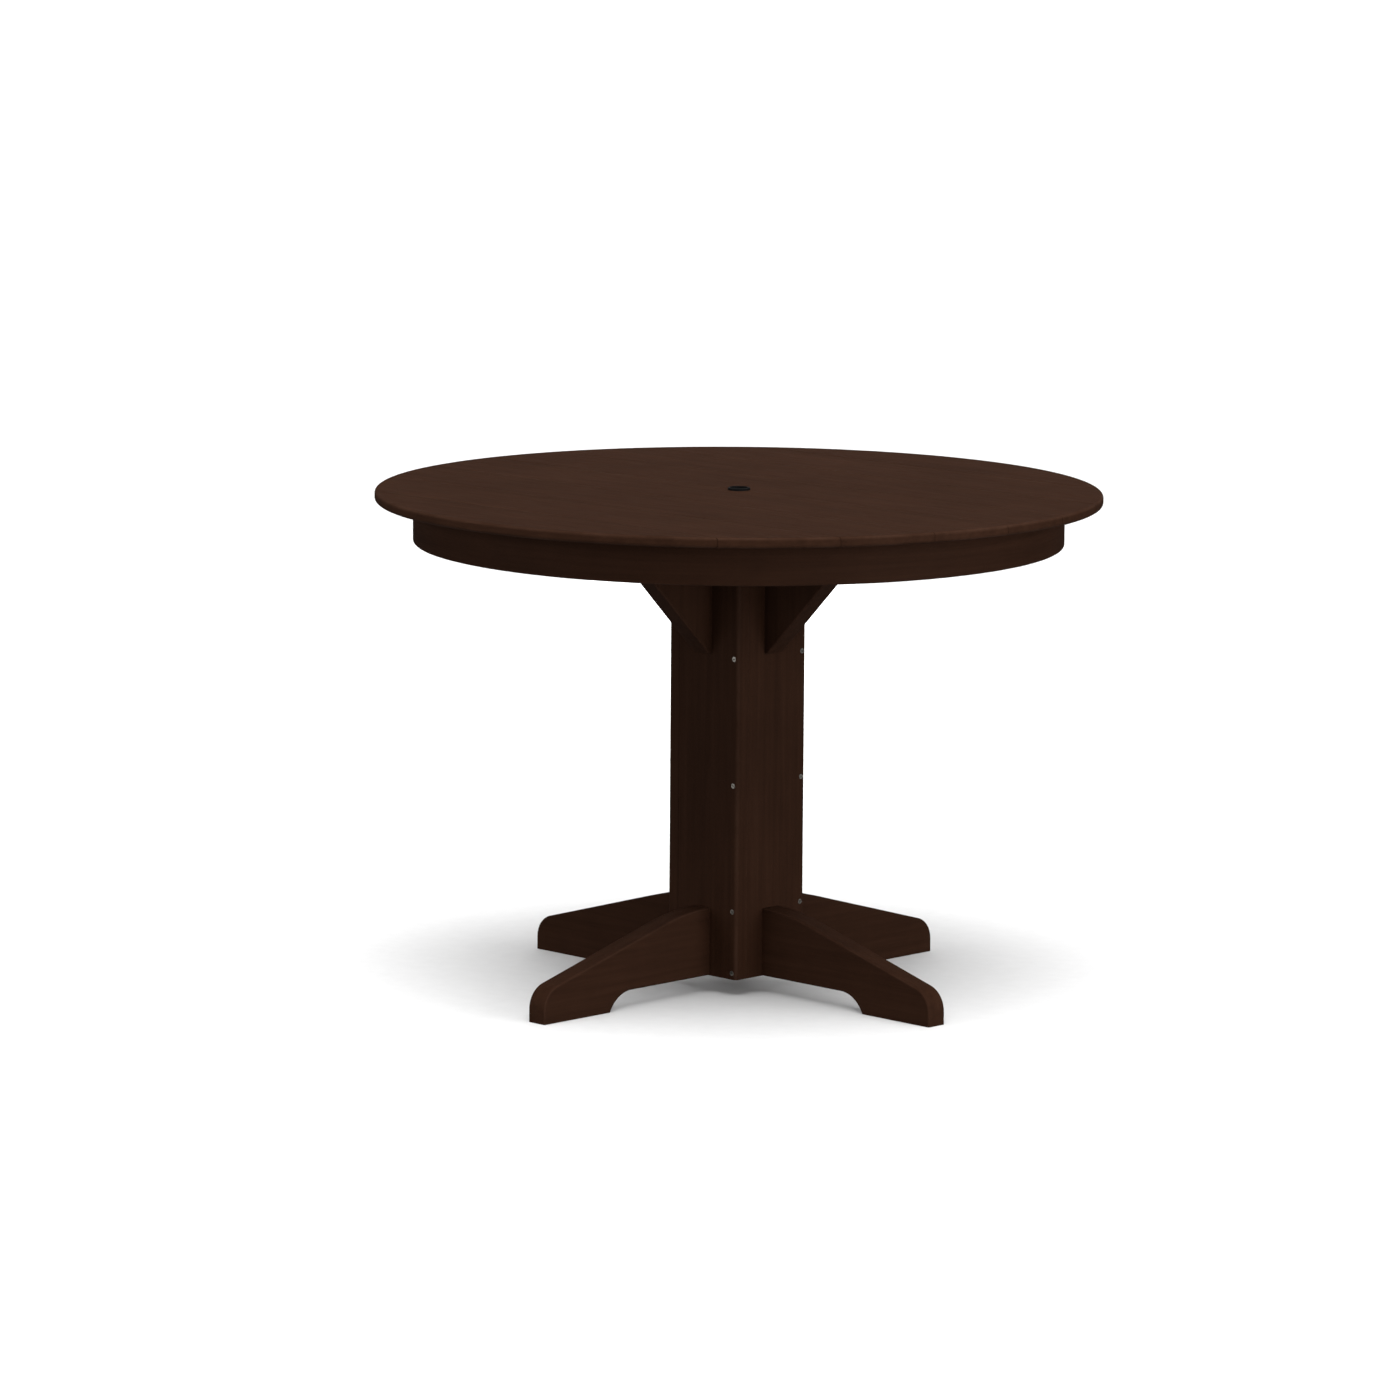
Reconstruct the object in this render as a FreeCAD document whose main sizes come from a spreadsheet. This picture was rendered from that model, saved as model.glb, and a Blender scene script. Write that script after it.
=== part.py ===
import FreeCAD, Part
import math
import os

import Sketcher

# Round pedestal table of recycled-plastic lumber with an umbrella hole.
# Frame: origin on the floor under the centre of the column, +Z up, the planks of the top
# run along X, and the feet and gussets point along +X, +Y, -X and -Y.
# The sides are named right (+X), back (+Y), left (-X) and front (-Y).
# Lengths are millimetres and angles are degrees.

doc = FreeCAD.newDocument("pedestal_table")
V = FreeCAD.Vector
SIDES = ("right", "back", "left", "front")   # quarter turns from +X, in this order

# ---------------------------------------------------------------- sizes

DRIVING = [
    # the top
    ("table_height", 775),          # floor to the upper face of the top
    ("top_diameter", 1117.6),
    ("top_thickness", 16),
    ("plank_count", 8),
    ("plank_seam", 0.8),            # gap between neighbouring planks
    ("plank_ease", 0.8),            # eased upper edges along the seams
    ("rim_round", 5),               # roundover of the rim, above and below
    # cleats under the planks
    ("cleat_thickness", 22.2),
    ("cleat_ease", 3),
    ("centre_cleat_width", 184),
    ("side_cleat_width", 89),
    ("side_cleat_share", 0.4384),   # how far out a side cleat's middle is, in radii of the top
    ("cleat_end_gap", 1),           # centre cleat's ends to the apron
    # the apron and the blocks behind it
    ("apron_setback", 58.8),        # rim of the top to the apron
    ("apron_depth", 63.5),
    ("apron_thickness", 16),
    ("apron_round", 3),
    ("apron_joint_angle", 45),
    ("block_length", 76),
    ("block_depth", 28),
    ("block_height", 38),
    ("block_ease", 2),
    ("block_gap", 4),               # least space between a block and a side cleat
    ("block_aside", 20),            # centre cleat's long edges to the blocks beside its ends
    # the column
    ("column_width", 149.2),
    ("board_thickness", 22.2),
    ("column_round", 6),            # outer corners
    ("board_ease", 1),              # edge that shows beside each corner seam
    ("plate_thickness", 22.2),      # the two square plates inside the column
    ("plate_gap", 0.3),             # a plate's edges to the boards
    ("pole_room", 2),               # grommet's bore to the pole holes below it, all round
    # the grommet in the top
    ("grommet_bore", 28),
    ("grommet_wall", 1.5),
    ("grommet_lip", 1.75),          # how far the flange reaches over the planks
    ("grommet_rise", 4),            # how far it stands above the top
    ("grommet_round", 1.5),
    ("grommet_fit", 0.2),           # sleeve to hole, all round
    # feet and gussets
    ("brace_thickness", 35),
    ("brace_round", 3),
    ("foot_clearance", 28.6),       # floor to the raised underside and to the column
    ("foot_reach", 427),
    ("foot_root_height", 134.5),
    ("foot_crown_radius", 350),
    ("foot_toe_radius", 38),
    ("foot_toe_height", 20),        # where the toe's round end turns upright
    ("foot_pad_length", 140),
    ("foot_arch_radius", 51),
    ("gusset_drop", 206),
    ("gusset_end_gap", 8.9),        # gusset's outer end to the side cleat's outer edge
    ("gusset_nose", 6),             # blunt ends of the sloping edge
    # screws
    ("screw_head", 8),
    ("screw_head_depth", 3),
    ("screw_shank", 4.2),
    ("screw_point", 5),
    ("screw_drive", 2.6),           # width of the square recess
    ("screw_drive_depth", 1.6),
    ("screw_cover", 4),             # material left beyond a screw's point
    ("edge_screw_inset", 9),        # column screws from the corner
    ("edge_screw_low", 10),         # lowest one above the column's lower end
    ("edge_screw_top", 14),         # highest one below the column's top
    ("edge_screw_rows", 4),         # evenly spaced, from the foot's crown upwards
    ("edge_screw_length", 50),
    ("plank_screw_inset", 11),      # centre cleat's screws from its long edges
    ("plank_screw_spread", 40),     # each side of a plank's middle line
    ("plank_screw_end", 12),        # least distance from a cleat's end
    ("block_screw_up", 9),          # each side of a block's middle
    ("block_screw_out", 24),
    ("brace_screw_length", 62),
    ("foot_screw_rise", 35.4),      # lowest one above the foot's raised underside
    ("foot_screw_drop", 18.5),      # highest one below the foot's crown
    ("gusset_screw_drop", 42),      # highest one below the cleats
    ("top_screw_length", 52),
    ("top_screw_inset", 21.5),      # screws down into the gussets, from a side cleat's inner edge
    ("top_screw_near", 55.4),       # and from the column's face
    ("plate_screw_cover", 8.6),     # a plate screw's point to the pole hole
    ("head_screw_inset", 16),       # from the head plate's edges
]

DERIVED = [
    ("top_underside", "table_height - top_thickness"),
    ("cleat_underside", "top_underside - cleat_thickness"),
    ("top_radius", "top_diameter / 2"),
    ("plank_pitch", "top_diameter / plank_count"),
    ("plank_width", "plank_pitch - plank_seam"),
    ("disc_seam", "asin(plank_pitch / 4 / top_radius) / 1 deg"),
    ("apron_outer", "top_radius - apron_setback"),
    ("apron_inner", "apron_outer - apron_thickness"),
    ("apron_underside", "top_underside - apron_depth"),
    ("side_cleat_offset", "side_cleat_share * top_radius"),
    ("side_cleat_edge", "side_cleat_offset + side_cleat_width / 2"),
    ("side_cleat_half", "sqrt((apron_inner - block_depth - block_gap)^2 - side_cleat_edge^2)"),
    ("centre_cleat_half", "sqrt((apron_inner - cleat_end_gap)^2 - (centre_cleat_width / 2)^2)"),
    ("grommet_sleeve", "grommet_bore + 2 * grommet_wall"),
    ("grommet_flange", "grommet_sleeve + 2 * grommet_lip"),
    ("pole_hole", "grommet_bore + 2 * pole_room"),
    ("column_half", "column_width / 2"),
    ("cavity_half", "column_half - board_thickness"),
    ("column_height", "cleat_underside - foot_clearance"),
    ("plate_width", "2 * (cavity_half - plate_gap)"),
    ("head_underside", "cleat_underside - plate_thickness"),
    ("gusset_tip", "cleat_underside - gusset_drop"),
    ("gusset_run", "side_cleat_edge - gusset_end_gap - column_half"),
    ("gusset_slope", "(gusset_drop - gusset_nose) / (gusset_run - gusset_nose)"),
    ("arch_run", "sqrt(foot_arch_radius^2 - (foot_arch_radius - foot_clearance)^2)"),
    ("crown_centre", "foot_root_height - foot_crown_radius"),
    ("toe_centre", "foot_reach - foot_toe_radius"),
    ("foot_span", "sqrt((toe_centre - column_half)^2 + (foot_toe_height - crown_centre)^2)"),
    ("foot_rise_angle", "asin((foot_toe_height - crown_centre) / foot_span) / 1 deg"),
    ("foot_turn_angle", "acos((foot_crown_radius - foot_toe_radius) / foot_span) / 1 deg"),
    ("foot_normal", "foot_rise_angle + foot_turn_angle"),
    ("plank_screw_length", "cleat_thickness + top_thickness - screw_cover"),
    ("block_up_length", "block_height + top_thickness - screw_cover"),
    ("block_out_length", "block_depth + apron_thickness - screw_cover"),
    ("head_screw_length", "plate_thickness + cleat_thickness - screw_cover"),
    ("plate_middle", "plate_thickness / 2"),
    ("plate_screw_length", "column_half - pole_hole / 2 - plate_screw_cover"),
    ("head_screw_spread", "plate_width / 2 - head_screw_inset"),
    ("foot_screw_low", "foot_clearance + foot_screw_rise"),
    ("foot_screw_high", "foot_root_height - foot_screw_drop"),
    ("gusset_screw_run", "brace_screw_length - board_thickness - gusset_nose + screw_cover"),
    ("gusset_screw_low", "gusset_tip + gusset_screw_run * gusset_slope"),
    ("gusset_screw_high", "cleat_underside - gusset_screw_drop"),
    ("top_screw_outer", "side_cleat_offset - side_cleat_width / 2 + top_screw_inset"),
    ("top_screw_inner", "column_half + top_screw_near"),
]

sheet = doc.addObject("Spreadsheet::Sheet", "sizes")
for row, (alias, value) in enumerate(DRIVING + DERIVED, start=1):
    text = "=" + value if isinstance(value, str) else str(value)
    sheet.set(f"A{row}", alias)
    sheet.set(f"B{row}", text)
    sheet.setAlias(f"B{row}", alias)
doc.recompute()
size = {alias: float(sheet.get(alias)) for alias, _ in DRIVING + DERIVED}

nodes = []            # every piece that is written out
SAME_PLACE = 1e-4     # closer than this, two places are one


# ---------------------------------------------------------------- helpers

def number(formula):
    """The value of a formula of sizes."""
    return float(sheet.evalExpression(formula))


def new_body(label):
    body = doc.addObject("PartDesign::Body", "body_" + label)
    body.Label = "blank of " + label
    return body


def new_sketch(body, role):
    plane = next(item for item in body.Origin.OriginFeatures if item.Role == role)
    sketch = body.newObject("Sketcher::SketchObject", body.Name + "_outline")
    sketch.AttachmentSupport = [(plane, "")]
    sketch.MapMode = "FlatFace"
    return sketch


def bound(sketch, kind, *where_and_formula):
    """Adds a dimension to a sketch and binds it to a formula of sizes."""
    *where, formula = where_and_formula
    index = sketch.addConstraint(Sketcher.Constraint(kind, *where, number(formula)))
    sketch.setExpression(f"Constraints[{index}]", formula)


def closed_outline(sketch, corners, arcs=None):
    """A closed chain of lines through corners given as pairs of formulas.

    arcs maps the number of a side to (radius, turn): that side is an arc, and turn is
    +1 where the chain bends to the left along it and -1 where it bends to the right.
    """
    arcs = arcs or {}
    points = [V(number(x), number(y), 0) for x, y in corners]
    ends = []
    for side, start in enumerate(points):
        finish = points[(side + 1) % len(points)]
        if side not in arcs:
            index = sketch.addGeometry(Part.LineSegment(start, finish), False)
            ends.append((index, 1, 2))
            continue
        radius, turn = arcs[side]
        chord = finish - start
        reach = math.sqrt(number(radius) ** 2 - (chord.Length / 2) ** 2)
        across = V(-chord.y, chord.x, 0).normalize()
        centre = (start + finish) / 2 + across * (turn * reach)
        first, last = (start, finish) if turn > 0 else (finish, start)
        circle = Part.Circle(centre, V(0, 0, 1), number(radius))
        arc = Part.ArcOfCircle(circle, circle.parameter(first), circle.parameter(last))
        index = sketch.addGeometry(arc, False)
        ends.append((index, 1, 2) if turn > 0 else (index, 2, 1))
    for side, (index, start_end, _) in enumerate(ends):
        before, _, finish_end = ends[side - 1]
        sketch.addConstraint(Sketcher.Constraint("Coincident", before, finish_end, index, start_end))
        x, y = corners[side]
        bound(sketch, "DistanceX", -1, 1, index, start_end, x)
        bound(sketch, "DistanceY", -1, 1, index, start_end, y)
    for side, (radius, _) in arcs.items():
        bound(sketch, "Radius", ends[side][0], radius)


def pad(body, sketch, length, middle=False):
    feature = body.newObject("PartDesign::Pad", body.Name + "_pad")
    feature.Profile = sketch
    feature.setExpression("Length", length)
    feature.Midplane = middle
    sketch.Visibility = False
    doc.recompute()
    return feature


def turned(body, sketch, angle=360):
    """Revolves a sketch about its own upright axis."""
    feature = body.newObject("PartDesign::Revolution", body.Name + "_turning")
    feature.Profile = sketch
    feature.ReferenceAxis = (sketch, ["V_Axis"])
    feature.Angle = angle
    doc.recompute()
    return feature


def rounded(body, radius, wanted):
    """Fillets the edges of a body's last feature that a test of each edge picks out."""
    base = body.Tip
    names = [f"Edge{n}" for n, edge in enumerate(base.Shape.Edges, start=1) if wanted(edge)]
    feature = body.newObject("PartDesign::Fillet", body.Name + "_round")
    feature.Base = (base, names)
    feature.setExpression("Radius", radius)
    doc.recompute()
    return feature


def lies_at(edge, axis, value):
    """True where a whole edge lies in the plane axis = value."""
    box = edge.BoundBox
    low, high = getattr(box, axis + "Min"), getattr(box, axis + "Max")
    return abs(low - value) < SAME_PLACE and abs(high - value) < SAME_PLACE


def boolean(kind, label, base, tool):
    feature = doc.addObject("Part::" + kind, label)
    feature.Base = base
    feature.Tool = tool
    feature.Label = label
    doc.recompute()
    return feature


def solid_set(label, shapes):
    """Several loose solids kept in one object."""
    feature = doc.addObject("Part::Feature", label.replace(" ", "_"))
    feature.Label = label
    feature.Shape = Part.makeCompound(shapes)
    return feature


def finished(label, blank, cutters):
    """Cuts whatever passes through a piece out of its blank, and keeps it as a node."""
    reach = blank.Shape.BoundBox
    near = [shape for shape in cutters if shape.BoundBox.intersect(reach)]
    if near:
        piece = boolean("Cut", label, blank, solid_set("holes of " + label, near))
    else:
        piece = blank
        piece.Label = label
    nodes.append(piece)
    return piece


def turned_by(angle):
    """A turn about the table's axis."""
    return FreeCAD.Placement(V(), FreeCAD.Rotation(V(0, 0, 1), angle))


def around(point, turns):
    """A point or direction on the right-hand side, carried round by quarter turns."""
    return turned_by(90 * turns).Rotation.multVec(point)


# ---------------------------------------------------------------- screws

def screw_pattern(name, length):
    """One square-drive countersunk screw, head face at the origin and point along +Z.

    Gives its plain shape, which is cut out of what it holds, and its finished shape.
    """
    body = new_body(name)
    profile = new_sketch(body, "XZ_Plane")
    closed_outline(profile, [
        ("0", "0"),
        ("sizes.screw_head / 2", "0"),
        ("sizes.screw_shank / 2", "sizes.screw_head_depth"),
        ("sizes.screw_shank / 2", f"{length} - sizes.screw_point"),
        ("0", length),
    ])
    plain = turned(body, profile).Shape.copy()
    recess = new_sketch(body, "XY_Plane")
    half = "sizes.screw_drive / 2"
    closed_outline(recess, [
        (f"-{half}", f"-{half}"), (half, f"-{half}"), (half, half), (f"-{half}", half),
    ])
    pocket = body.newObject("PartDesign::Pocket", body.Name + "_drive")
    pocket.Profile = recess
    pocket.setExpression("Length", "sizes.screw_drive_depth")
    pocket.Reversed = True
    doc.recompute()
    if body.Shape.Volume >= plain.Volume:
        raise ValueError("the drive recess cuts nothing out of " + name)
    return plain, body.Shape.copy()


def screw_group(label, length, places):
    """Puts a screw at each (head point, direction), and gives the plain shapes."""
    plain, complete = screw_pattern(label, length)
    plains = []
    completes = []
    for point, direction in places:
        turn = FreeCAD.Rotation(V(0, 0, 1), direction)
        place = FreeCAD.Placement(point, turn)
        plains.append(plain.transformed(place.toMatrix()))
        completes.append(complete.transformed(place.toMatrix()))
    nodes.append(solid_set(label, completes))
    return plains


def both(value):
    return (-value, value)


def plank_middles():
    count = int(size["plank_count"])
    return [(k - (count - 1) / 2) * size["plank_pitch"] for k in range(count)]


def plank_screws(label, rows, cleat_half):
    """Screws up through one cleat, two to a plank in each row, clear of its ends.

    A plank that the cleat only just reaches gets one, in the middle of what it covers.
    """
    limit = cleat_half - size["plank_screw_end"]
    across = []
    for middle in plank_middles():
        pair = [middle + side for side in both(size["plank_screw_spread"])]
        clear = [y for y in pair if abs(y) < limit]
        near_edge = abs(middle) - size["plank_width"] / 2
        if not clear and near_edge < limit:
            clear = [math.copysign((near_edge + cleat_half) / 2, middle)]
        across += clear
    places = [(V(x, y, size["cleat_underside"]), V(0, 0, 1)) for x in rows for y in across]
    return screw_group(label, "sizes.plank_screw_length", places)


centre_row = size["centre_cleat_width"] / 2 - size["plank_screw_inset"]
offset = size["side_cleat_offset"]
into_planks = plank_screws("plank_screws_centre", both(centre_row), size["centre_cleat_half"])
into_planks += plank_screws("plank_screws_left", (-offset,), size["side_cleat_half"])
into_planks += plank_screws("plank_screws_right", (offset,), size["side_cleat_half"])

# Four blocks stand on the diagonals and at the sides, and four beside the centre cleat's
# ends, where the outermost planks reach past the side cleats.
block_beside = (size["centre_cleat_width"] + size["block_length"]) / 2 + size["block_aside"]
beside_angle = math.degrees(math.acos(block_beside / size["apron_inner"]))
joint = size["apron_joint_angle"]
BLOCKS = [
    ("apron_splice_right", joint),
    ("apron_splice_left", joint + 180),
    ("apron_block_right", 0),
    ("apron_block_left", 180),
    ("apron_block_back_left", joint + 90),
    ("apron_block_front_right", joint + 270),
    ("apron_block_back_1", beside_angle),
    ("apron_block_back_2", 180 - beside_angle),
    ("apron_block_front_1", 180 + beside_angle),
    ("apron_block_front_2", 360 - beside_angle),
]


def block_places(radius, sideways, height, direction):
    places = []
    for _, angle in BLOCKS:
        turn = turned_by(angle).Rotation
        for side in both(sideways):
            places.append((turn.multVec(V(radius, side, height)), turn.multVec(direction)))
    return places


block_face = size["apron_inner"] - size["block_depth"]
block_underside = size["top_underside"] - size["block_height"]
block_up = screw_group(
    "block_screws_up", "sizes.block_up_length",
    block_places(block_face + size["block_depth"] / 2, size["block_screw_up"],
                 block_underside, V(0, 0, 1)))
block_out = screw_group(
    "block_screws_out", "sizes.block_out_length",
    block_places(block_face, size["block_screw_out"],
                 block_underside + size["block_height"] / 2, V(1, 0, 0)))

# Each board of the column covers the edge of the next one, and is screwed to it there.
edge_first = size["foot_root_height"]
edge_rows = int(size["edge_screw_rows"])
edge_step = (size["cleat_underside"] - size["edge_screw_top"] - edge_first) / (edge_rows - 1)
edge_heights = [size["foot_clearance"] + size["edge_screw_low"]]
edge_heights += [edge_first + row * edge_step for row in range(edge_rows)]
half = size["column_half"]
edge_screws = []
for turns, side in enumerate(SIDES):
    places = [(around(V(half, half - size["edge_screw_inset"], z), turns), around(V(-1, 0, 0), turns))
              for z in edge_heights]
    edge_screws += screw_group("column_screws_" + side, "sizes.edge_screw_length", places)


def inside_places(heights):
    """Screws from the column's cavity outwards, on the middle line of every side."""
    return [(around(V(size["cavity_half"], 0, z), turns), around(V(1, 0, 0), turns))
            for turns in range(4) for z in heights]


def low_middle_high(low, high):
    return (low, (low + high) / 2, high)


foot_heights = low_middle_high(size["foot_screw_low"], size["foot_screw_high"])
foot_screws = screw_group("foot_screws", "sizes.brace_screw_length", inside_places(foot_heights))
gusset_heights = low_middle_high(size["gusset_screw_low"], size["gusset_screw_high"])
gusset_screws = screw_group("gusset_screws", "sizes.brace_screw_length",
                            inside_places(gusset_heights))

# Screws down through the cleats into the gussets' upper edges.
down_places = []
for turns, side in enumerate(SIDES):
    stations = [size["top_screw_outer"]]
    if side in ("back", "front"):
        stations.append(size["top_screw_inner"])
    for station in stations:
        down_places.append((around(V(station, 0, size["top_underside"]), turns), V(0, 0, -1)))
gusset_top_screws = screw_group("gusset_top_screws", "sizes.top_screw_length", down_places)

# The plates inside the column: one screw through each board, under the foot or the gusset,
# and four up through the head plate into the centre cleat.
plate_heights = (size["foot_clearance"] + size["plate_middle"],
                 size["cleat_underside"] - size["plate_middle"])
plate_screws = screw_group(
    "plate_screws", "sizes.plate_screw_length",
    [(around(V(half, 0, z), turns), around(V(-1, 0, 0), turns))
     for turns in range(4) for z in plate_heights])
spread = size["head_screw_spread"]
head_screws = screw_group(
    "head_screws", "sizes.head_screw_length",
    [(V(x, y, size["head_underside"]), V(0, 0, 1)) for x in both(spread) for y in both(spread)])


# ---------------------------------------------------------------- the top

def upright_hole(name, diameter, low, high):
    """A round cutter on the table's axis."""
    cylinder = doc.addObject("Part::Cylinder", name)
    cylinder.setExpression("Radius", f"{diameter} / 2")
    cylinder.setExpression("Height", f"{high} - ({low})")
    cylinder.setExpression("Placement.Base.z", low)
    doc.recompute()
    return cylinder.Shape.copy()


grommet_hole = upright_hole("grommet_hole", "(sizes.grommet_sleeve + 2 * sizes.grommet_fit)",
                            "sizes.top_underside", "sizes.table_height")
cleat_hole = upright_hole("cleat_pole_hole", "sizes.pole_hole",
                          "sizes.cleat_underside", "sizes.top_underside")
head_hole = upright_hole("head_pole_hole", "sizes.pole_hole",
                         "sizes.head_underside", "sizes.cleat_underside")
guide_hole = upright_hole("guide_pole_hole", "sizes.pole_hole",
                          "sizes.foot_clearance", "sizes.foot_clearance + sizes.plate_thickness")

# A round disc with a rounded rim, which every plank is trimmed to.
disc = new_body("top_disc")
disc_outline = new_sketch(disc, "XY_Plane")
disc_circle = disc_outline.addGeometry(Part.Circle(V(), V(0, 0, 1), size["top_radius"]), False)
disc_outline.addConstraint(Sketcher.Constraint("Coincident", disc_circle, 3, -1, 1))
bound(disc_outline, "Radius", disc_circle, "sizes.top_radius")
pad(disc, disc_outline, "sizes.top_thickness")
rounded(disc, "sizes.rim_round", lambda edge: isinstance(edge.Curve, Part.Circle))
# The disc's own seam is turned a quarter of a plank from the middle line, where no plank ends.
disc.Placement = turned_by(size["disc_seam"])
disc.setExpression("Placement.Rotation.Angle", "sizes.disc_seam * 1 deg")
disc.setExpression("Placement.Base.z", "sizes.top_underside")
doc.recompute()


def plank(number_from_front):
    """One plank: a straight board with eased upper edges, trimmed to the round rim."""
    label = f"top_plank_{number_from_front + 1}"
    body = new_body(label)
    outline = new_sketch(body, "YZ_Plane")
    reach = "sizes.plank_width / 2"
    closed_outline(outline, [
        (f"-{reach}", "0"), (reach, "0"),
        (reach, "sizes.top_thickness"), (f"-{reach}", "sizes.top_thickness"),
    ])
    pad(body, outline, "sizes.top_diameter + 2 * sizes.rim_round", middle=True)
    rounded(body, "sizes.plank_ease",
            lambda edge: lies_at(edge, "Z", size["top_thickness"])
            and edge.BoundBox.XLength > size["top_radius"])
    body.setExpression("Placement.Base.y",
                       f"({number_from_front} - (sizes.plank_count - 1) / 2) * sizes.plank_pitch")
    body.setExpression("Placement.Base.z", "sizes.top_underside")
    doc.recompute()
    trimmed = boolean("Common", label + "_trimmed", body, disc)
    finished(label, trimmed, into_planks + block_up + [grommet_hole])


for k in range(int(size["plank_count"])):
    plank(k)


def flat_board(label, width, length, thickness, low, middle_x, ease, cutters):
    """A board lying flat, its length along Y, with its lower edges eased if ease is given."""
    body = new_body(label)
    outline = new_sketch(body, "XY_Plane")
    w, q = f"({width}) / 2", f"({length}) / 2"
    closed_outline(outline, [(f"-{w}", f"-{q}"), (w, f"-{q}"), (w, q), (f"-{w}", q)])
    pad(body, outline, thickness)
    if ease:
        rounded(body, ease, lambda edge: lies_at(edge, "Z", 0))
    body.setExpression("Placement.Base.x", middle_x)
    body.setExpression("Placement.Base.z", low)
    doc.recompute()
    finished(label, body, cutters)


under_top = into_planks + gusset_top_screws + head_screws
flat_board("centre_cleat", "sizes.centre_cleat_width", "2 * sizes.centre_cleat_half",
           "sizes.cleat_thickness", "sizes.cleat_underside", "0", "sizes.cleat_ease",
           under_top + [cleat_hole])
for side, sign in (("left", "-1"), ("right", "1")):
    flat_board("side_cleat_" + side, "sizes.side_cleat_width", "2 * sizes.side_cleat_half",
               "sizes.cleat_thickness", "sizes.cleat_underside",
               f"{sign} * sizes.side_cleat_offset", "sizes.cleat_ease", under_top)


def grommet():
    """The ring that lines the umbrella hole: a sleeve under a raised, rounded flange."""
    body = new_body("umbrella_grommet")
    profile = new_sketch(body, "XZ_Plane")
    bore, sleeve = "sizes.grommet_bore / 2", "sizes.grommet_sleeve / 2"
    flange = "sizes.grommet_flange / 2"
    closed_outline(profile, [
        (bore, "sizes.top_underside"),
        (sleeve, "sizes.top_underside"),
        (sleeve, "sizes.table_height"),
        (flange, "sizes.table_height"),
        (flange, "sizes.table_height + sizes.grommet_rise - sizes.grommet_round"),
        (f"{flange} - sizes.grommet_round", "sizes.table_height + sizes.grommet_rise"),
        (bore, "sizes.table_height + sizes.grommet_rise"),
    ], {4: ("sizes.grommet_round", 1)})
    turned(body, profile)
    finished("umbrella_grommet", body, [])


grommet()


# ---------------------------------------------------------------- the apron

def apron_half(label, extra_turn):
    """Half of the bent band under the top, its lower outer edge rounded."""
    body = new_body(label)
    profile = new_sketch(body, "XZ_Plane")
    closed_outline(profile, [
        ("sizes.apron_inner", "sizes.apron_underside"),
        ("sizes.apron_outer - sizes.apron_round", "sizes.apron_underside"),
        ("sizes.apron_outer", "sizes.apron_underside + sizes.apron_round"),
        ("sizes.apron_outer", "sizes.top_underside"),
        ("sizes.apron_inner", "sizes.top_underside"),
    ], {1: ("sizes.apron_round", 1)})
    turned(body, profile, 180)
    body.Placement = turned_by(size["apron_joint_angle"] + extra_turn)
    body.setExpression("Placement.Rotation.Angle", f"(sizes.apron_joint_angle + {extra_turn}) * 1 deg")
    doc.recompute()
    finished(label, body, block_out)


def apron_block(label, angle):
    """A block whose outer face is curved to the band's inner face."""
    body = new_body(label)
    outline = new_sketch(body, "XY_Plane")
    side = "sizes.block_length / 2"
    inner_x = "sizes.apron_inner - sizes.block_depth"
    outer_x = "sqrt(sizes.apron_inner^2 - (sizes.block_length / 2)^2)"
    closed_outline(outline, [
        (inner_x, f"-{side}"), (outer_x, f"-{side}"), (outer_x, side), (inner_x, side),
    ], {1: ("sizes.apron_inner", 1)})
    pad(body, outline, "sizes.block_height")
    rounded(body, "sizes.block_ease",
            lambda edge: lies_at(edge, "X", size["apron_inner"] - size["block_depth"])
            and not lies_at(edge, "Z", size["block_height"]))
    body.Placement = turned_by(angle)
    body.setExpression("Placement.Base.z", "sizes.top_underside - sizes.block_height")
    doc.recompute()
    finished(label, body, block_up + block_out)


apron_half("apron_back", 0)
apron_half("apron_front", 180)
for block_label, block_angle in BLOCKS:
    apron_block(block_label, block_angle)


# ---------------------------------------------------------------- the column

def column_board(turns, side):
    """A board that ends flush with one corner, which is rounded, and butts the next board."""
    label = "column_board_" + side
    body = new_body(label)
    outline = new_sketch(body, "XY_Plane")
    outer, inner = "sizes.column_half", "sizes.cavity_half"
    closed_outline(outline, [
        (inner, f"-{inner}"),
        (outer, f"-{inner}"),
        (outer, f"{outer} - sizes.column_round"),
        (f"{outer} - sizes.column_round", outer),
        (inner, outer),
    ], {2: ("sizes.column_round", 1)})
    pad(body, outline, "sizes.column_height")
    rounded(body, "sizes.board_ease",
            lambda edge: lies_at(edge, "X", size["column_half"])
            and lies_at(edge, "Y", -size["cavity_half"]))
    body.setExpression("Placement.Base.z", "sizes.foot_clearance")
    body.Placement = turned_by(90 * turns)
    doc.recompute()
    finished(label, body, edge_screws + foot_screws + gusset_screws + plate_screws)


for turns, side in enumerate(SIDES):
    column_board(turns, side)

flat_board("column_head_plate", "sizes.plate_width", "sizes.plate_width", "sizes.plate_thickness",
           "sizes.head_underside", "0", None, plate_screws + head_screws + [head_hole])
flat_board("pole_guide_plate", "sizes.plate_width", "sizes.plate_width", "sizes.plate_thickness",
           "sizes.foot_clearance", "0", None, plate_screws + [guide_hole])


# ---------------------------------------------------------------- feet and gussets

def brace(label, turns, corners, arcs, seats, cutters):
    """An upright plate standing out from one side of the column.

    Its edges are rounded, but for those of its seats, each a plane axis = value.
    """
    body = new_body(label)
    outline = new_sketch(body, "XZ_Plane")
    closed_outline(outline, corners, arcs)
    pad(body, outline, "sizes.brace_thickness", middle=True)
    rounded(body, "sizes.brace_round",
            lambda edge: any(lies_at(edge, "Y", face) for face in both(size["brace_thickness"] / 2))
            and not any(lies_at(edge, axis, value) for axis, value in seats))
    body.Placement = turned_by(90 * turns)
    doc.recompute()
    finished(label, body, cutters)


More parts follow.
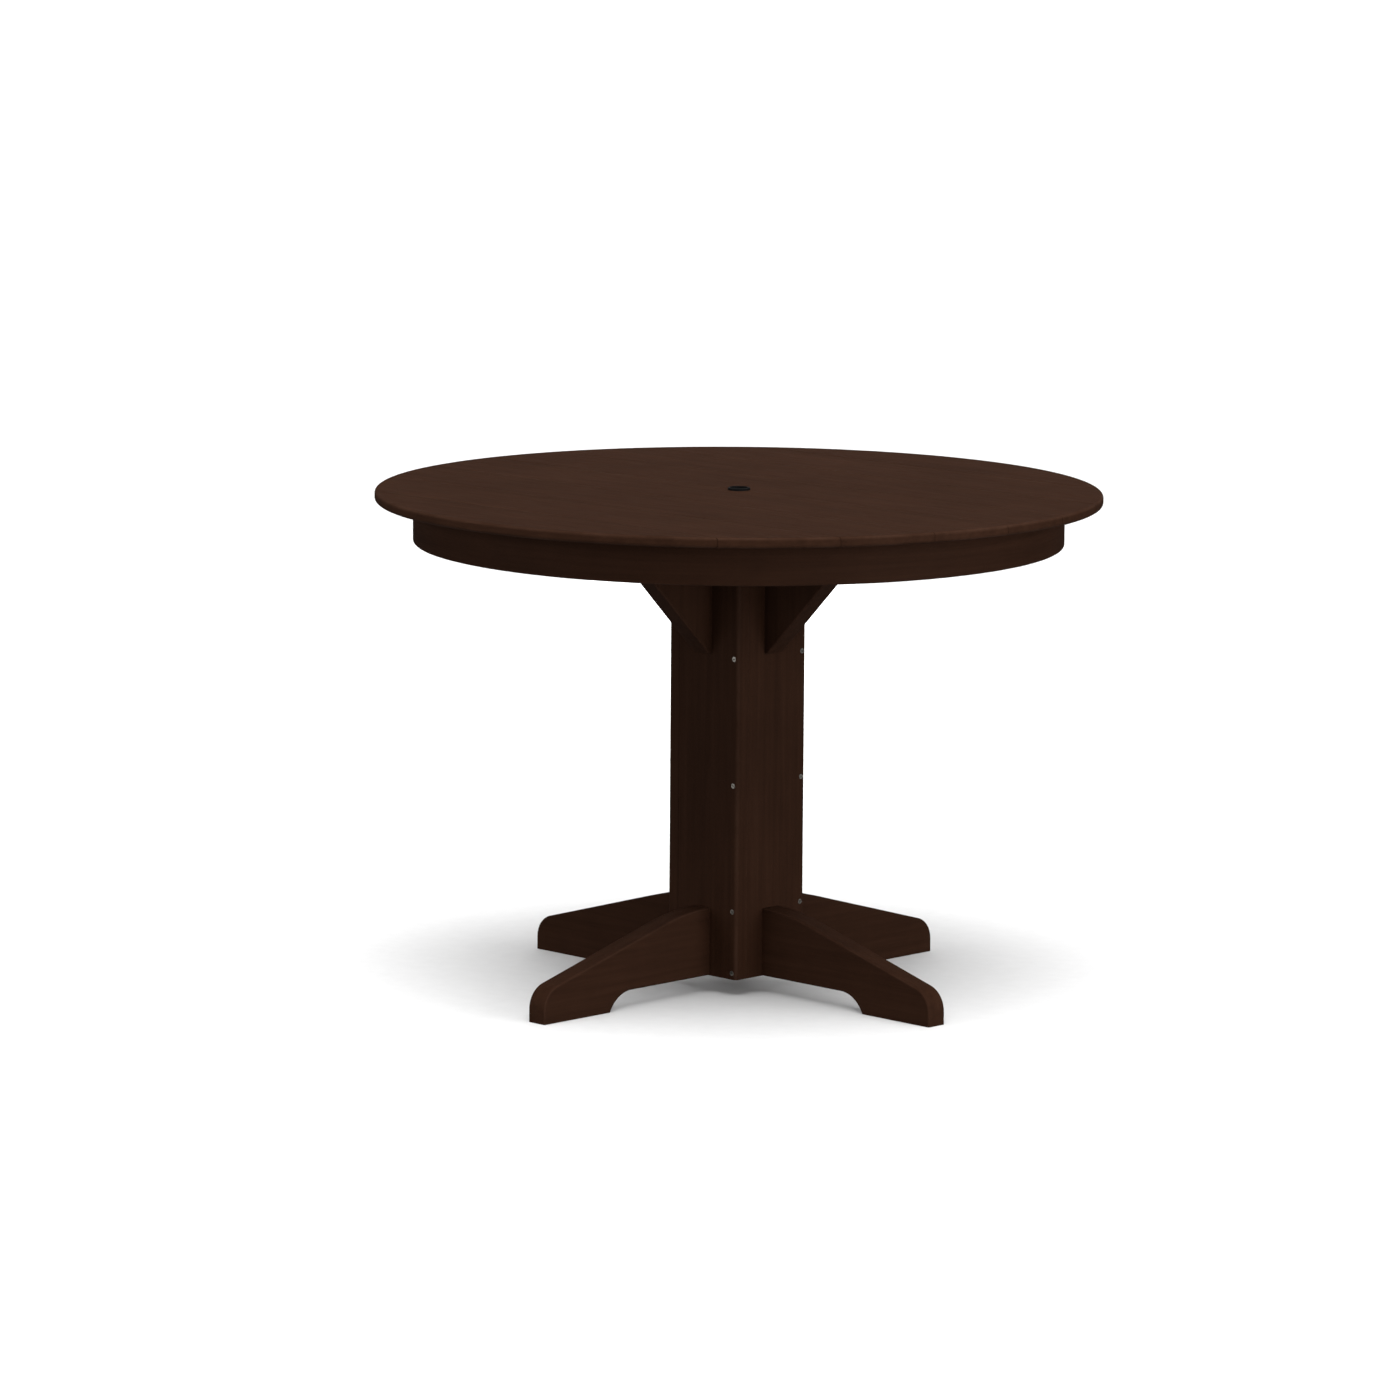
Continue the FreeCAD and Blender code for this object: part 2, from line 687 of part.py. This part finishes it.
FOOT = [
    ("sizes.column_half", "sizes.foot_clearance"),
    ("sizes.foot_reach - sizes.foot_pad_length - sizes.arch_run", "sizes.foot_clearance"),
    ("sizes.foot_reach - sizes.foot_pad_length", "0"),
    ("sizes.foot_reach", "0"),
    ("sizes.foot_reach", "sizes.foot_toe_height"),
    ("sizes.toe_centre + sizes.foot_toe_radius * cos(sizes.foot_normal * 1 deg)",
     "sizes.foot_toe_height + sizes.foot_toe_radius * sin(sizes.foot_normal * 1 deg)"),
    ("sizes.column_half + sizes.foot_crown_radius * cos(sizes.foot_normal * 1 deg)",
     "sizes.crown_centre + sizes.foot_crown_radius * sin(sizes.foot_normal * 1 deg)"),
    ("sizes.column_half", "sizes.foot_root_height"),
]
FOOT_ARCS = {
    1: ("sizes.foot_arch_radius", -1),
    4: ("sizes.foot_toe_radius", 1),
    6: ("sizes.foot_crown_radius", 1),
}
GUSSET = [
    ("sizes.column_half", "sizes.gusset_tip"),
    ("sizes.column_half + sizes.gusset_nose", "sizes.gusset_tip"),
    ("sizes.column_half + sizes.gusset_run", "sizes.cleat_underside - sizes.gusset_nose"),
    ("sizes.column_half + sizes.gusset_run", "sizes.cleat_underside"),
    ("sizes.column_half", "sizes.cleat_underside"),
]
for turns, side in enumerate(SIDES):
    brace("foot_" + side, turns, FOOT, FOOT_ARCS, [("X", half), ("Z", 0)], foot_screws)
for turns, side in enumerate(SIDES):
    brace("gusset_" + side, turns, GUSSET, {}, [("X", half), ("Z", size["cleat_underside"])],
          gusset_screws + gusset_top_screws)


# ---------------------------------------------------------------- checks and files

doc.recompute()
for item in doc.Objects:
    if "Invalid" in item.State or "Error" in item.State:
        raise ValueError(f"{item.Label} failed: {item.State}")
for node in nodes:
    if node.Shape.isNull() or not node.Shape.isValid():
        raise ValueError(f"{node.Label} has no valid shape")

os.makedirs("parts", exist_ok=True)
for node in nodes:
    node.Shape.exportStep(f"parts/{node.Label}.step")
    print(f"{node.Label}: {len(node.Shape.Solids)} solids, {node.Shape.Volume / 1000:.1f} cm3")
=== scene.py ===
# %% [markdown]
# # A round table of recycled-plastic lumber
#
# The table is already built to size as separate boards, plates and screws. This file gives
# each of them its finish, and then sets a camera and a soft studio round it. The boards keep
# their shapes, because a saw and a router have already given them everything but a surface.

# %% Load the table and note its size
import math

import bmesh
import bpy
from mathutils import Matrix, Vector


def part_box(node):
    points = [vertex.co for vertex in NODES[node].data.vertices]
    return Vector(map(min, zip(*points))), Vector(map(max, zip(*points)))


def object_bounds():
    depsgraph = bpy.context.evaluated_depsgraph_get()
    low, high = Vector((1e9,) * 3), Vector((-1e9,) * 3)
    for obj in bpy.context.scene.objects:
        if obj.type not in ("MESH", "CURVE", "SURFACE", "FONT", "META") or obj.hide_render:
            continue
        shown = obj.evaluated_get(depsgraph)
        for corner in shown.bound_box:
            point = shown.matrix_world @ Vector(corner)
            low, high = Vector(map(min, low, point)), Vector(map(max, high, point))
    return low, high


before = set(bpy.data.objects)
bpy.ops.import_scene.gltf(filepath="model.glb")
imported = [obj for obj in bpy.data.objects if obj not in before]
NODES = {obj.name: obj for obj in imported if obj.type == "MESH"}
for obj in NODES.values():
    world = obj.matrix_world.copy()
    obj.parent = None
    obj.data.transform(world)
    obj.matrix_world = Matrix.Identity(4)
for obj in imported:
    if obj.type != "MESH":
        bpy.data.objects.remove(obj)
CAD_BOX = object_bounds()
LOW, HIGH = Vector(CAD_BOX[0]), Vector(CAD_BOX[1])
TOP_RADIUS = (HIGH.x - LOW.x) / 2
TOP_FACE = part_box("top_plank_4")[1].z
print(f"{len(NODES)} pieces, top {2 * TOP_RADIUS:.4f} m across, {TOP_FACE:.3f} m high")

# %% [markdown]
# ## Nodes in a few words
#
# A finish made of nodes can be drawn by hand in the editor, or wired up in a few lines. The
# helpers here add one node at a time and join it to what feeds it, so that each finish below
# reads from top to bottom like a recipe.

# %% Small helpers for wiring a finish


class Recipe:
    """One material being wired up."""

    def __init__(self, name):
        self.material = bpy.data.materials.new(name)
        self.material.use_nodes = True
        self.tree = self.material.node_tree
        self.shader = self.tree.nodes["Principled BSDF"]

    def add(self, kind, **settings):
        """Adds a node of a kind, with its settings."""
        node = self.tree.nodes.new("ShaderNode" + kind)
        for key, value in settings.items():
            setattr(node, key, value)
        return node

    def feed(self, node, socket, source):
        """Gives one input a number, a colour or another node's output."""
        target = node.inputs[socket]
        if isinstance(source, bpy.types.NodeSocket):
            self.tree.links.new(source, target)
        else:
            target.default_value = source

    def fix(self, **values):
        """Sets inputs of the shader that are the same all over; an underscore is a space."""
        for name, value in values.items():
            self.shader.inputs[name.replace("_", " ")].default_value = value

    def maths(self, operation, *terms):
        """Works out one sum."""
        node = self.add("Math", operation=operation)
        for place, term in enumerate(terms):
            self.feed(node, place, term)
        return node.outputs[0]

    def noise(self, where, scale, detail, roughness=0.5):
        """A cloudy number between 0 and 1."""
        node = self.add("TexNoise")
        self.feed(node, "Vector", where)
        self.feed(node, "Scale", scale)
        self.feed(node, "Detail", detail)
        self.feed(node, "Roughness", roughness)
        return node.outputs["Fac"]

    def ramp(self, source, *stops):
        """Maps a number through (position, colour) stops."""
        node = self.add("ValToRGB")
        self.feed(node, "Fac", source)
        band = node.color_ramp
        while len(band.elements) < len(stops):
            band.elements.new(0.5)
        for element, (position, colour) in zip(band.elements, stops):
            element.position = position
            element.color = (*colour, 1.0)
        return node.outputs["Color"]

    def spread(self, source, low, high, to_low, to_high):
        """Maps a number from one span to another, held at both ends."""
        node = self.add("MapRange")
        for socket, value in (("Value", source), ("From Min", low), ("From Max", high),
                              ("To Min", to_low), ("To Max", to_high)):
            self.feed(node, socket, value)
        return node.outputs["Result"]

    def blend(self, factor, first, second, kind="MIX"):
        """Mixes two colours."""
        node = self.add("Mix", data_type="RGBA", blend_type=kind)
        self.feed(node, "Factor", factor)
        self.feed(node, "A", first)
        self.feed(node, "B", second)
        return node.outputs["Result"]

    def bump(self, height, strength, distance, under=None):
        """Relief of a given depth in metres, laid over an earlier one."""
        node = self.add("Bump")
        self.feed(node, "Height", height)
        self.feed(node, "Strength", strength)
        self.feed(node, "Distance", distance)
        if under is not None:
            self.feed(node, "Normal", under)
        return node.outputs["Normal"]


def dress(name, material):
    """Makes a material the only one on a piece."""
    slots = NODES[name].data.materials
    slots.clear()
    slots.append(material)


MOST = (0.3, 0.7)        # nearly all of a noise lies between these
MIDDLE = (0.35, 0.65)    # the busiest part of it
print("helpers ready")

# %% [markdown]
# ## Which way the melt ran
#
# These boards are extruded from ground-up bottles with a brown pigment stirred in. Drawing
# the melt through a die leaves streaks and grain along the board, so the pattern is a noise
# stretched along one direction. A picture of wood could be wrapped round each board instead,
# but it would repeat and would not turn with the cut.

# %% Stretch the noise along each board
ALONG = {"x": (1, 0, 0), "y": (0, 1, 0), "z": (0, 0, 1)}
STRETCH = 0.035      # how wide a streak is for its length


def board_space(recipe, grain, shift):
    """Coordinates in metres, squeezed along the grain and moved so that no two boards match."""
    place = recipe.add("TexCoord").outputs["Object"]
    mapping = recipe.add("Mapping")
    recipe.feed(mapping, "Vector", place)
    recipe.feed(mapping, "Location", shift)
    squeeze = [STRETCH if axis else 1.0 for axis in ALONG[grain]]
    recipe.feed(mapping, "Scale", squeeze)
    return mapping.outputs["Vector"], place


def band_space(recipe, radius, start_angle, shift):
    """The same for a bent band: the way round it, its depth and its height.

    The place where the angle starts again is put at a joint of the band.
    """
    place = recipe.add("TexCoord").outputs["Object"]
    turn = recipe.add("VectorRotate", rotation_type="Z_AXIS")
    recipe.feed(turn, "Vector", place)
    recipe.feed(turn, "Angle", math.pi - start_angle)
    parts = recipe.add("SeparateXYZ")
    recipe.feed(parts, "Vector", turn.outputs["Vector"])
    x, y, z = (parts.outputs[axis] for axis in "XYZ")
    arc = recipe.maths("MULTIPLY", recipe.maths("ARCTAN2", y, x), radius * STRETCH)
    outward = recipe.maths("SQRT", recipe.maths("ADD", recipe.maths("MULTIPLY", x, x),
                                                recipe.maths("MULTIPLY", y, y)))
    joined = recipe.add("CombineXYZ")
    recipe.feed(joined, "X", arc)
    recipe.feed(joined, "Y", outward)
    recipe.feed(joined, "Z", z)
    moved = recipe.add("VectorMath", operation="ADD")
    recipe.feed(moved, 0, joined.outputs["Vector"])
    recipe.feed(moved, 1, shift)
    return moved.outputs["Vector"], place


SHIFT_START = {"planks": 0, "apron": 20, "column": 30, "feet": 40, "gussets": 50,
               "cleats": 60, "plates": 70, "blocks": 80}


def own_shift(kind, number):
    """A start in the noise that is far from every other board's."""
    count = SHIFT_START[kind] + number
    return (3.1 * count, 1.7 * count, 2.3 * count)


print("grain runs set for flat boards and for the bent band")

# %% [markdown]
# ## Where the edges are rubbed
#
# The router left every edge rounded, and sleeves rub a rounded edge paler. The rounding can be
# found from the way the surface faces: a flat face looks straight along an axis, and a
# rounded edge looks in between. Marking it by the shape of the mesh would spread the wear
# over flat faces wherever their triangles are long.

# %% Find the rounded edges


def rounded_edge(recipe, across):
    """1 halfway round the rounded edges of a board and 0 on its faces.

    across is the axis that the board's broad faces look along.
    """
    parts = recipe.add("SeparateXYZ")
    recipe.feed(parts, "Vector", recipe.add("TexCoord").outputs["Normal"])
    facing = parts.outputs[across.upper()]
    squared = recipe.maths("MULTIPLY", facing, facing)
    rest = recipe.maths("SUBTRACT", 1.0, squared)
    return recipe.maths("MULTIPLY", recipe.maths("MULTIPLY", squared, rest), 4.0)


print("rounded edges are found from the way they face")

# %% [markdown]
# ## The brown finish itself
#
# The colour is a dark chocolate brown, a little redder than black coffee. Three things keep it
# from looking painted: streaks of slightly lighter and darker melt, a soft mottle the size of
# a hand, and the paler edges. Small pits show where gas was trapped. The skin is satin, and
# its gloss is kept low so that the top stays brown even when it is seen almost edge-on.

# %% Colours and sizes of the lumber's marks
BROWN = (0.0265, 0.0110, 0.0058)
BROWN_DARK = (0.0222, 0.0091, 0.0047)
BROWN_PALE = (0.0312, 0.0133, 0.0072)
WORN = (0.0520, 0.0280, 0.0195)
STREAKS_PER_METRE = 85
GRAIN_PER_METRE = 620
MOTTLE_PER_METRE = 11
PITS_PER_METRE = 340
PIT_RIM = (0.24, 0.32)         # noise at the bottom and at the rim of a pit
SHADES = (0.92, 1.07)          # how far the mottle darkens and lightens
RUBBED = (0.06, 0.34)          # how far the edges are worn, least and most
LUMBER_ROUGHNESS = (0.64, 0.80)
LUMBER_GLOSS = 0.04
GRAIN_DEPTH = 0.00035
PIT_DEPTH = 0.0004
print(f"streaks about {1000 / STREAKS_PER_METRE:.0f} mm apart, grain {1000 * GRAIN_DEPTH:.2f} mm deep")

# %% Mix the lumber finish


def tinted(colour, tone):
    """A colour made lighter or darker."""
    return tuple(channel * tone for channel in colour)


def lumber(name, across, space, tone=1.0):
    """Satin recycled-plastic lumber. space(recipe) gives stretched and plain coordinates."""
    recipe = Recipe(name)
    stretched, place = space(recipe)
    streaks = recipe.noise(stretched, STREAKS_PER_METRE, detail=5, roughness=0.62)
    grain = recipe.noise(stretched, GRAIN_PER_METRE, detail=3, roughness=0.7)
    mottle = recipe.noise(place, MOTTLE_PER_METRE, detail=4, roughness=0.6)
    pits = recipe.noise(place, PITS_PER_METRE, detail=1)
    colour = recipe.ramp(streaks, (0.30, tinted(BROWN_DARK, tone)), (0.50, tinted(BROWN, tone)),
                         (0.72, tinted(BROWN_PALE, tone)))
    shade = recipe.spread(mottle, *MOST, *SHADES)
    shades = recipe.add("CombineColor")
    for channel in ("Red", "Green", "Blue"):
        recipe.feed(shades, channel, shade)
    colour = recipe.blend(1.0, colour, shades.outputs["Color"], "MULTIPLY")
    wear = recipe.maths("MULTIPLY", rounded_edge(recipe, across),
                        recipe.spread(mottle, *MIDDLE, *RUBBED))
    colour = recipe.blend(wear, colour, (*tinted(WORN, tone), 1.0))
    recipe.feed(recipe.shader, "Base Color", colour)
    recipe.feed(recipe.shader, "Roughness", recipe.spread(grain, *MOST, *LUMBER_ROUGHNESS))
    recipe.fix(Specular_IOR_Level=LUMBER_GLOSS)
    relief = recipe.bump(grain, strength=0.35, distance=GRAIN_DEPTH)
    relief = recipe.bump(streaks, strength=0.25, distance=2 * GRAIN_DEPTH, under=relief)
    hollow = recipe.spread(pits, *PIT_RIM, 0.0, 1.0)
    relief = recipe.bump(hollow, strength=0.4, distance=PIT_DEPTH, under=relief)
    recipe.feed(recipe.shader, "Normal", relief)
    return recipe.material


def finish_board(name, grain, across, shift, tone=1.0):
    """Gives one straight board a finish of its own."""
    dress(name, lumber(name + "_lumber", across,
                       lambda recipe: board_space(recipe, grain, shift), tone))


print("lumber mixed")

# %% [markdown]
# ## The round top
#
# Eight planks lie side by side and were sawn to a circle together, so the seams run right
# across but the rim is one clean curve. Boards from different batches never match exactly;
# giving each plank its own tone is what lets the eye count them.

# %% Finish the planks
PLANKS = sorted(name for name in NODES if name.startswith("top_plank"))
PLANK_TONES = (0.99, 1.015, 0.985, 1.01, 0.99, 1.015, 1.00, 1.01)
for number, (plank, tone) in enumerate(zip(PLANKS, PLANK_TONES)):
    finish_board(plank, "x", "z", own_shift("planks", number), tone)
print(f"{len(PLANKS)} planks finished")

# %% [markdown]
# ## The bent apron
#
# The skirt under the top is a thin board, warmed and bent, so its streaks follow the curve.
# Straight streaks would show at once that it had been cut from a block.

# %% Finish the two halves of the apron
APRON_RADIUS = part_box("apron_block_right")[1].x
JOINT_ANGLE = math.radians(225)
for number, half in enumerate(("apron_front", "apron_back")):
    shift = own_shift("apron", number)
    dress(half, lumber(half + "_lumber", "z",
                       lambda recipe: band_space(recipe, APRON_RADIUS, JOINT_ANGLE, shift)))
print(f"apron bent to a radius of {APRON_RADIUS:.3f} m")

# %% [markdown]
# ## Column, feet and gussets
#
# The column's boards stand on end, so their streaks are upright. The feet and gussets are
# sawn from thick plate: the feet with the streaks along their length, the gussets upright.

# %% Finish the upright and standing pieces
SIDES = ("right", "back", "left", "front")
COLUMN_TONES = (1.0, 0.97, 1.03, 0.99)
GUSSET_TONE = 0.98
for number, side in enumerate(SIDES):
    length, thickness = ("x", "y") if side in ("right", "left") else ("y", "x")
    # An upright edge between two faces is found as well from one as from the other, so the
    # same axis serves all four boards of the column.
    finish_board("column_board_" + side, "z", "x", own_shift("column", number), COLUMN_TONES[number])
    finish_board("foot_" + side, length, thickness, own_shift("feet", number))
    finish_board("gusset_" + side, "z", thickness, own_shift("gussets", number), GUSSET_TONE)
print(f"{len(SIDES)} boards, feet and gussets finished")

# %% [markdown]
# ## The pieces underneath
#
# Cleats, plates and blocks are never seen from above. They come from the same lumber, a shade
# darker because no sun has reached them.

# %% Finish the hidden pieces
HIDDEN_TONE = 0.95
BLOCKS = sorted(name for name in NODES if name.startswith(("apron_block", "apron_splice")))
HIDDEN = {"cleats": ("y", ("centre_cleat", "side_cleat_left", "side_cleat_right")),
          "plates": ("x", ("column_head_plate", "pole_guide_plate")),
          "blocks": ("z", BLOCKS)}
for kind, (grain, names) in HIDDEN.items():
    for number, name in enumerate(names):
        finish_board(name, grain, "z", own_shift(kind, number), HIDDEN_TONE)
    print(f"{len(names)} {kind} finished")

# %% [markdown]
# ## The ring in the umbrella hole
#
# A moulded black ring keeps the pole from chewing the planks. It has a fine spark-eroded
# texture and a slight sheen on its rounded lip.

# %% Finish the ring
RING_SPECKLE_PER_METRE = 1500
ring = Recipe("grommet_black")
speckle = ring.noise(ring.add("TexCoord").outputs["Object"], RING_SPECKLE_PER_METRE, detail=2)
ring.feed(ring.shader, "Base Color", ring.ramp(speckle, (MOST[0], (0.0030, 0.0028, 0.0028)),
                                               (MOST[1], (0.0060, 0.0056, 0.0054))))
ring.feed(ring.shader, "Roughness", ring.spread(speckle, *MOST, 0.42, 0.58))
ring.fix(Specular_IOR_Level=0.08)
ring.feed(ring.shader, "Normal", ring.bump(speckle, strength=0.3, distance=0.0001))
dress("umbrella_grommet", ring.material)
print("ring finished")

# %% [markdown]
# ## Stainless screws
#
# The screws are turned stainless steel with a recess for the driver. Fine lines left by the
# lathe and a breath of grime keep them from reading as white dots.

# %% Finish the screws
LATHE_LINES_PER_METRE = 2600
GRIME_PER_METRE = 400
steel = Recipe("screw_stainless")
steel_place = steel.add("TexCoord").outputs["Object"]
turning = steel.noise(steel_place, LATHE_LINES_PER_METRE, detail=2)
grime = steel.noise(steel_place, GRIME_PER_METRE, detail=2)
steel.feed(steel.shader, "Base Color", steel.ramp(grime, (MIDDLE[0], (0.13, 0.12, 0.105)),
                                                  (MIDDLE[1], (0.30, 0.285, 0.26))))
steel.fix(Metallic=1.0)
steel.feed(steel.shader, "Roughness", steel.spread(turning, *MOST, 0.28, 0.46))
steel.feed(steel.shader, "Normal", steel.bump(turning, strength=0.2, distance=0.00005))
SCREWS = sorted(name for name in NODES if "screws" in name)
for name in SCREWS:
    dress(name, steel.material)
print(f"{len(SCREWS)} groups of screws finished")

# %% [markdown]
# ## Camera
#
# The table is seen corner-on from a long way off with a long lens, so that its sides hardly
# converge, and from a little above the top, so that the top is a thin ellipse. The camera is
# placed by its distance, its height and the side it looks from, and then aimed just past the
# column.

# %% Place the camera
VIEW_SIDE = math.radians(44.5)
VIEW_DISTANCE = 18.75 * TOP_RADIUS
VIEW_HEIGHT = 2.710 * TOP_FACE
AIM_ASIDE = -0.103 * TOP_RADIUS
AIM_HEIGHT = 0.578 * TOP_FACE
VIEW_ROLL = math.radians(0.4)
LENS = 176.9            # millimetres, for the sensor below
SENSOR_WIDTH = 36
FARTHEST_SEEN = 200
away = Vector((math.sin(VIEW_SIDE), -math.cos(VIEW_SIDE), 0))
aside = Vector((math.cos(VIEW_SIDE), math.sin(VIEW_SIDE), 0))
eye = away * VIEW_DISTANCE + Vector((0, 0, VIEW_HEIGHT))
aim = aside * AIM_ASIDE + Vector((0, 0, AIM_HEIGHT))
forward = (aim - eye).normalized()
right = forward.cross(Vector((0, 0, 1))).normalized()
up = right.cross(forward)
rolled_right = right * math.cos(VIEW_ROLL) + up * math.sin(VIEW_ROLL)
rolled_up = up * math.cos(VIEW_ROLL) - right * math.sin(VIEW_ROLL)
camera = bpy.data.objects.new("camera", bpy.data.cameras.new("camera"))
camera.data.lens = LENS
camera.data.sensor_width = SENSOR_WIDTH
camera.data.clip_end = FARTHEST_SEEN
camera.matrix_world = Matrix.Translation(eye) @ Matrix(
    (rolled_right, rolled_up, -forward)).transposed().to_4x4()
bpy.context.scene.collection.objects.link(camera)
bpy.context.scene.camera = camera
print(f"camera {VIEW_DISTANCE:.2f} m away, {VIEW_HEIGHT:.2f} m up")

# %% [markdown]
# ## Floor
#
# White paper runs back far enough to fill the view. It takes the table's shadow, but it is kept
# out of what lights the table and out of its reflections: light thrown up by so much white
# paper would turn the dark brown grey.

# %% Lay the floor
FLOOR_HALF = 60.0
FLOOR_DROP = 0.0002   # keeps the soles of the feet clear of the paper
TOOTH_PER_METRE = 40
floor_mesh = bpy.data.meshes.new("floor")
floor_mesh.from_pydata([(-FLOOR_HALF, -FLOOR_HALF, 0), (FLOOR_HALF, -FLOOR_HALF, 0),
                        (FLOOR_HALF, FLOOR_HALF, 0), (-FLOOR_HALF, FLOOR_HALF, 0)],
                       [], [(0, 1, 2, 3)])
floor = bpy.data.objects.new("floor", floor_mesh)
floor.location.z = LOW.z - FLOOR_DROP
bpy.context.scene.collection.objects.link(floor)
paper = Recipe("floor_white")
tooth = paper.noise(paper.add("TexCoord").outputs["Object"], TOOTH_PER_METRE, detail=2)
paper.feed(paper.shader, "Base Color", paper.ramp(tooth, (MOST[0], (0.78, 0.78, 0.78)),
                                                  (MOST[1], (0.80, 0.80, 0.80))))
paper.fix(Roughness=0.9, Specular_IOR_Level=0.0)
floor_mesh.materials.append(paper.material)
floor.visible_diffuse = False
floor.visible_glossy = False
print(f"floor laid at {floor.location.z:.4f} m")

# %% [markdown]
# ## Backdrop
#
# Seen from low down, the far edge of the floor comes into view. A white dome stands there, so
# that every side of the table has the same plain background. It only shows itself: it throws
# no light and no shadow.

# %% Raise the backdrop
BACKDROP_RADIUS = FLOOR_HALF - 1.0
dome = bmesh.new()
bmesh.ops.create_uvsphere(dome, u_segments=64, v_segments=32, radius=BACKDROP_RADIUS)
dome_mesh = bpy.data.meshes.new("backdrop")
dome.to_mesh(dome_mesh)
dome.free()
backdrop = bpy.data.objects.new("backdrop", dome_mesh)
bpy.context.scene.collection.objects.link(backdrop)
cloth = Recipe("backdrop_white")
cloth.fix(Base_Color=(0.0, 0.0, 0.0, 1.0), Specular_IOR_Level=0.0,
          Emission_Color=(1.0, 1.0, 1.0, 1.0), Emission_Strength=1.0)
dome_mesh.materials.append(cloth.material)
for kind_of_ray in ("visible_diffuse", "visible_glossy", "visible_transmission", "visible_shadow"):
    setattr(backdrop, kind_of_ray, False)
print(f"backdrop {BACKDROP_RADIUS:.0f} m away")

# %% [markdown]
# ## Lights
#
# A broad panel on the right makes the right-hand faces paler than the left-hand ones. Weaker
# ones on the left, in front and behind keep the other faces from going black. A soft sun
# lights the top from overhead. It is kept out of reflections, as a polarising filter would
# do, because the glare of a light on a nearly edge-on top hides its colour.

# %% Hang the lights
PANEL_DISTANCE = 4.4
PANEL_HEIGHT = 0.9
PANEL_SIZE = 3.2
FILL_SIZE = 1.6
SUN_POWER = 3.9
SUN_SPREAD = math.radians(62)
SUN_TILT = math.radians(12)


def soft_light(name, side, size, power):
    """A square panel aimed at the middle of the table. side is in degrees from the camera."""
    panel = bpy.data.lights.new(name, "AREA")
    panel.shape = "SQUARE"
    panel.size = size
    panel.energy = power
    lamp = bpy.data.objects.new(name, panel)
    angle = VIEW_SIDE + math.radians(side)
    lamp.location = (PANEL_DISTANCE * math.sin(angle), -PANEL_DISTANCE * math.cos(angle), PANEL_HEIGHT)
    middle = Vector((0, 0, TOP_FACE / 2))
    lamp.rotation_euler = (middle - lamp.location).to_track_quat("-Z", "Y").to_euler()
    lamp.visible_camera = False
    bpy.context.scene.collection.objects.link(lamp)
    return lamp


soft_light("right_panel", side=54, size=PANEL_SIZE, power=166)
soft_light("left_panel", side=-68, size=PANEL_SIZE, power=66)
soft_light("front_fill", side=-4, size=FILL_SIZE, power=30)
soft_light("back_panel", side=178, size=PANEL_SIZE, power=90).visible_glossy = False
sun = bpy.data.lights.new("overhead", "SUN")
sun.energy = SUN_POWER
sun.angle = SUN_SPREAD
overhead = bpy.data.objects.new("overhead", sun)
overhead.rotation_euler = (SUN_TILT, SUN_TILT, 0)
bpy.context.scene.collection.objects.link(overhead)
overhead.visible_glossy = False
print("four panels and a soft sun hung")

# %% [markdown]
# ## The room
#
# The room itself glows a little from above and from below, and least at the level of the eye.
# That level band is what a nearly edge-on top mirrors, so keeping it dim keeps the top brown.

# %% Fill the room with soft light
ROOM_GLOW = ((0.0, 0.36), (0.5, 0.05), (1.0, 0.50))   # from the ground, through level, to overhead
world = bpy.data.worlds.new("studio")
world.use_nodes = True
room = world.node_tree
sky = room.nodes["Background"]
sky.inputs["Color"].default_value = (1.0, 1.0, 1.0, 1.0)
rise = room.nodes.new("ShaderNodeSeparateXYZ")
room.links.new(room.nodes.new("ShaderNodeTexCoord").outputs["Generated"], rise.inputs[0])
glow = room.nodes.new("ShaderNodeFloatCurve")
curve = glow.mapping.curves[0]
curve.points[0].location = ROOM_GLOW[0]
curve.points[1].location = ROOM_GLOW[2]
curve.points.new(*ROOM_GLOW[1])
for point in curve.points:
    point.handle_type = "VECTOR"
glow.mapping.update()
lift = room.nodes.new("ShaderNodeMapRange")
lift.inputs["From Min"].default_value = -1.0
room.links.new(rise.outputs["Z"], lift.inputs["Value"])
room.links.new(lift.outputs["Result"], glow.inputs["Value"])
room.links.new(glow.outputs["Value"], sky.inputs["Strength"])
bpy.context.scene.world = world
bpy.context.scene.view_settings.view_transform = "Standard"
print(f"room glows {ROOM_GLOW[2][1]} from above, {ROOM_GLOW[1][1]} at eye level")

# %% [markdown]
# ## Sizes
#
# The finished table is as large as the boards it was made from, since only their finish has changed.
# Their box was taken when they were loaded.

# %% The size stays that of the boards
print("size left as the boards gave it")
